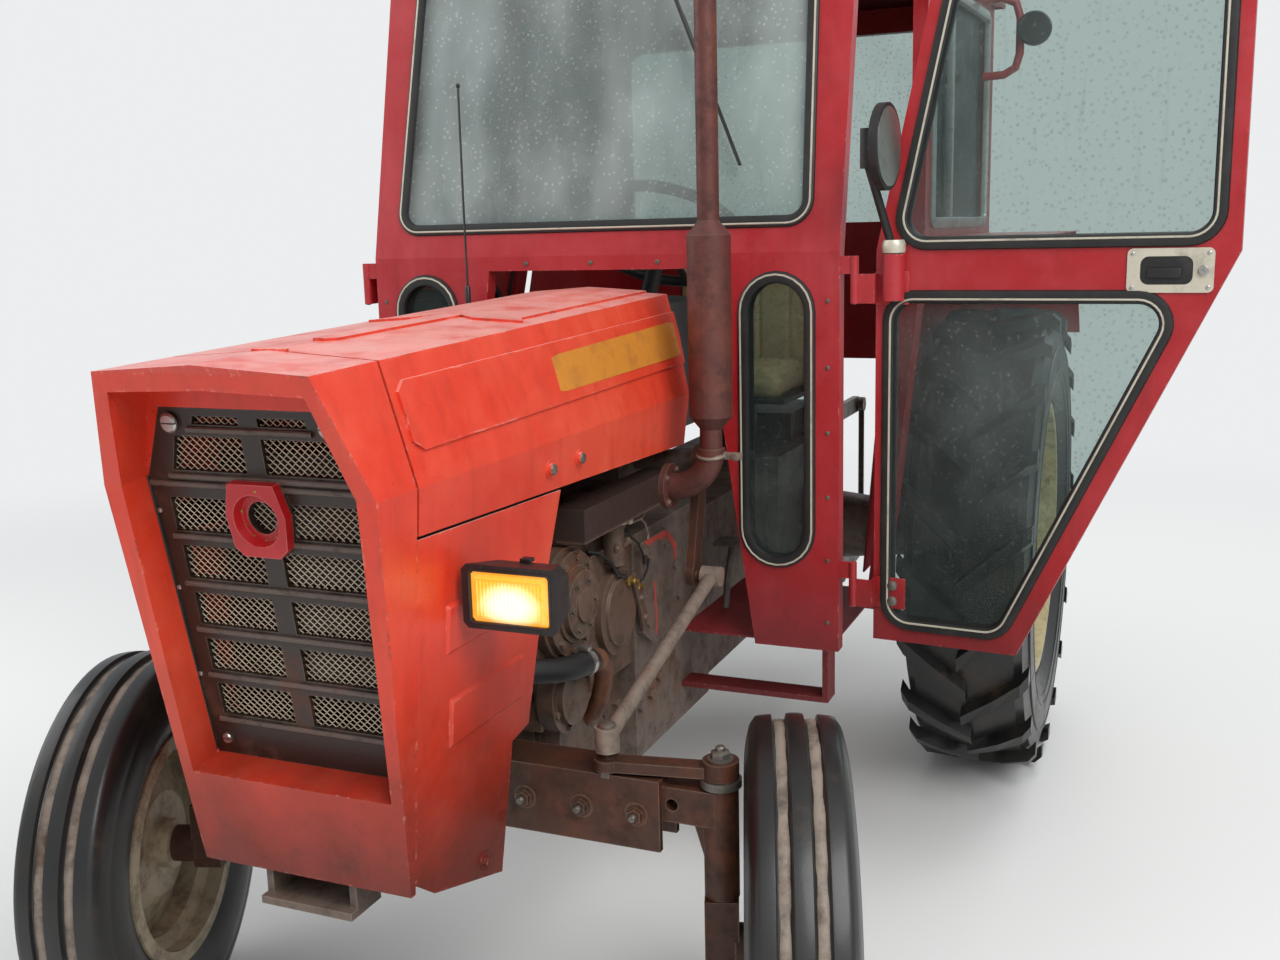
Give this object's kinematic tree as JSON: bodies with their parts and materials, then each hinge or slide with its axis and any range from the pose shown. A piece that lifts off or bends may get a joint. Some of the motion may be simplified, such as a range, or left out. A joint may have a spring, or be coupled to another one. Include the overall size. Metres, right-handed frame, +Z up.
{
  "type": "small farm tractor with a steel cab",
  "caption": "Small red farm tractor of about 1960 with a steel cab, left door open, front wheels steered left, lugged rear tyres and a three-point linkage",
  "frame": {"origin": "upper end of the drawbar's pin hole, on the tractor's midplane", "axes": "+X forward, +Y to the tractor's left, +Z up"},
  "size_m": [3.2791, 2.0724, 2.23],
  "materials": {
    "engine_metal": "grey brown, oily and worn",
    "exhaust_metal": "rusty maroon brown",
    "radiator_black": "dull black",
    "gear_grey": "worn grey paint",
    "axle_brown": "rusty brown paint",
    "bonnet_red": "faded orange red",
    "grille_black": "dark brown black",
    "lamp_black": "black housing",
    "lamp_amber": "ribbed amber lens, lit",
    "cab_red": "faded crimson",
    "window": "clear with rain drops",
    "dash_black": "dull black",
    "seat_metal": "dull dark paint",
    "seat_cover": "cream yellow covering",
    "hitch_steel": "bare worn steel",
    "shaft_steel": "bare steel",
    "mirror_black": "dark grey",
    "link_steel": "pale worn paint",
    "wheel_black": "black",
    "tyre_rubber": "wet black rubber with dried mud",
    "front_rim_paint": "grey beige with rust",
    "rear_rim_paint": "yellowish beige with rust"
  },
  "bodies": {
    "root": {"engine": "engine_metal", "exhaust": "exhaust_metal", "radiator": "radiator_black", "transmission": "gear_grey", "rear_axle": "gear_grey", "front_support": "gear_grey", "axle_beam": "axle_brown", "nose_cowl": "bonnet_red", "grille": "grille_black", "side_panels": "bonnet_red", "lamps": "lamp_black", "lamp_lenses": "lamp_amber", "cab_front": "cab_red", "cab_sides": "cab_red", "cab_rear": "cab_red", "cab_roof": "cab_red", "cab_floor": "cab_red", "fenders": "cab_red", "fixed_glass": "window", "controls": "dash_black", "seat": "seat_metal", "seat_cushion": "seat_cover", "drawbar": "hitch_steel", "pto_shaft": "shaft_steel"},
    "bonnet": {"bonnet": "bonnet_red"},
    "door_left": {"door_left": "cab_red", "door_left_glass": "window", "side_mirror": "mirror_black"},
    "door_right": {"door_right": "cab_red", "door_right_glass": "window"},
    "knuckle_left": {"knuckle_left": "axle_brown"},
    "knuckle_right": {"knuckle_right": "axle_brown"},
    "drop_arm_left": {"drop_arm_left": "axle_brown"},
    "drop_arm_right": {"drop_arm_right": "axle_brown"},
    "drag_link_left": {"drag_link_left": "link_steel"},
    "drag_link_right": {"drag_link_right": "link_steel"},
    "steering_wheel": {"steering_wheel": "wheel_black"},
    "lower_links": {"lower_links": "hitch_steel"},
    "lift_arms": {"lift_arms": "hitch_steel"},
    "lift_rods": {"lift_rods": "hitch_steel"},
    "wheel_front_left": {"tyre_front_left": "tyre_rubber", "rim_front_left": "front_rim_paint"},
    "wheel_front_right": {"tyre_front_right": "tyre_rubber", "rim_front_right": "front_rim_paint"},
    "wheel_rear_left": {"tyre_rear_left": "tyre_rubber", "rim_rear_left": "rear_rim_paint"},
    "wheel_rear_right": {"tyre_rear_right": "tyre_rubber", "rim_rear_right": "rear_rim_paint"}
  },
  "joints": [
    {"name": "steer_left", "type": "hinge", "parent": "root", "child": "knuckle_left", "pos_m": [2.476, 0.515, 0.19], "axis": [0, 0, 1], "range_deg": [-58, 22]},
    {"name": "steer_right", "type": "hinge", "parent": "root", "child": "knuckle_right", "pos_m": [2.476, -0.515, 0.19], "axis": [0, 0, 1], "range_deg": [-58, 22]},
    {"name": "spin_front_left", "type": "hinge", "parent": "knuckle_left", "child": "wheel_front_left", "pos_m": [2.43954, 0.62722, -0.0425], "axis": [-0.309, 0.9511, 0], "continuous": true},
    {"name": "spin_front_right", "type": "hinge", "parent": "knuckle_right", "child": "wheel_front_right", "pos_m": [2.51246, -0.62722, -0.0425], "axis": [-0.309, 0.9511, 0], "continuous": true},
    {"name": "spin_rear_left", "type": "hinge", "parent": "root", "child": "wheel_rear_left", "pos_m": [0.608, 0.682, 0.22], "axis": [0, 1, 0], "continuous": true},
    {"name": "spin_rear_right", "type": "hinge", "parent": "root", "child": "wheel_rear_right", "pos_m": [0.608, -0.682, 0.22], "axis": [0, 1, 0], "continuous": true},
    {"name": "swing_drop_left", "type": "hinge", "parent": "root", "child": "drop_arm_left", "pos_m": [1.832, 0.252, 0.62], "axis": [0, 1, 0], "range_deg": [-17, 44]},
    {"name": "swing_drop_right", "type": "hinge", "parent": "root", "child": "drop_arm_right", "pos_m": [1.832, -0.252, 0.62], "axis": [0, 1, 0], "range_deg": [-45, 17.5]},
    {"name": "push_link_left", "type": "slide", "parent": "root", "child": "drag_link_left", "axis": [1, 0, 0], "range_m": [-0.18, 0.075]},
    {"name": "push_link_right", "type": "slide", "parent": "root", "child": "drag_link_right", "axis": [1, 0, 0], "range_m": [-0.075, 0.18]},
    {"name": "turn_steering_wheel", "type": "hinge", "parent": "root", "child": "steering_wheel", "pos_m": [1.383, 0, 1.068], "axis": [-0.5736, 0, 0.8192], "range_deg": [-880, 340]},
    {"name": "open_bonnet", "type": "hinge", "parent": "root", "child": "bonnet", "pos_m": [2.8355, 0, 0.93721], "axis": [0, 1, 0], "range_deg": [0, 55]},
    {"name": "swing_door_left", "type": "hinge", "parent": "root", "child": "door_left", "pos_m": [1.78437, 0.55621, 0.635], "axis": [0, 0, 1], "range_deg": [0, 92]},
    {"name": "swing_door_right", "type": "hinge", "parent": "root", "child": "door_right", "pos_m": [1.78437, -0.55621, 0.635], "axis": [0, 0, 1], "range_deg": [0, 92]},
    {"name": "raise_lower_links", "type": "hinge", "parent": "root", "child": "lower_links", "pos_m": [0.538, 0, 0.06], "axis": [0, 1, 0], "range_deg": [-9, 20]},
    {"name": "turn_lift_arms", "type": "hinge", "parent": "root", "child": "lift_arms", "pos_m": [0.478, 0, 0.52], "axis": [0, 1, 0], "range_deg": [-12, 27]},
    {"name": "tilt_lift_rods", "type": "hinge", "parent": "lower_links", "child": "lift_rods", "pos_m": [0.19584, 0, 0.08393], "axis": [0, 1, 0], "range_deg": [-22, 11]}
  ],
  "couplings": [
    {"joint": "steer_right", "follows": "steer_left", "ratio": 1},
    {"joint": "swing_drop_left", "follows": "steer_left", "ratio": -0.74},
    {"joint": "swing_drop_right", "follows": "steer_left", "ratio": 0.77},
    {"joint": "push_link_left", "follows": "steer_left", "m_per_rad": 0.165},
    {"joint": "push_link_right", "follows": "steer_left", "m_per_rad": -0.165},
    {"joint": "turn_steering_wheel", "follows": "steer_left", "ratio": 15},
    {"joint": "turn_lift_arms", "follows": "raise_lower_links", "ratio": 1.3},
    {"joint": "tilt_lift_rods", "follows": "raise_lower_links", "ratio": -1}
  ]
}
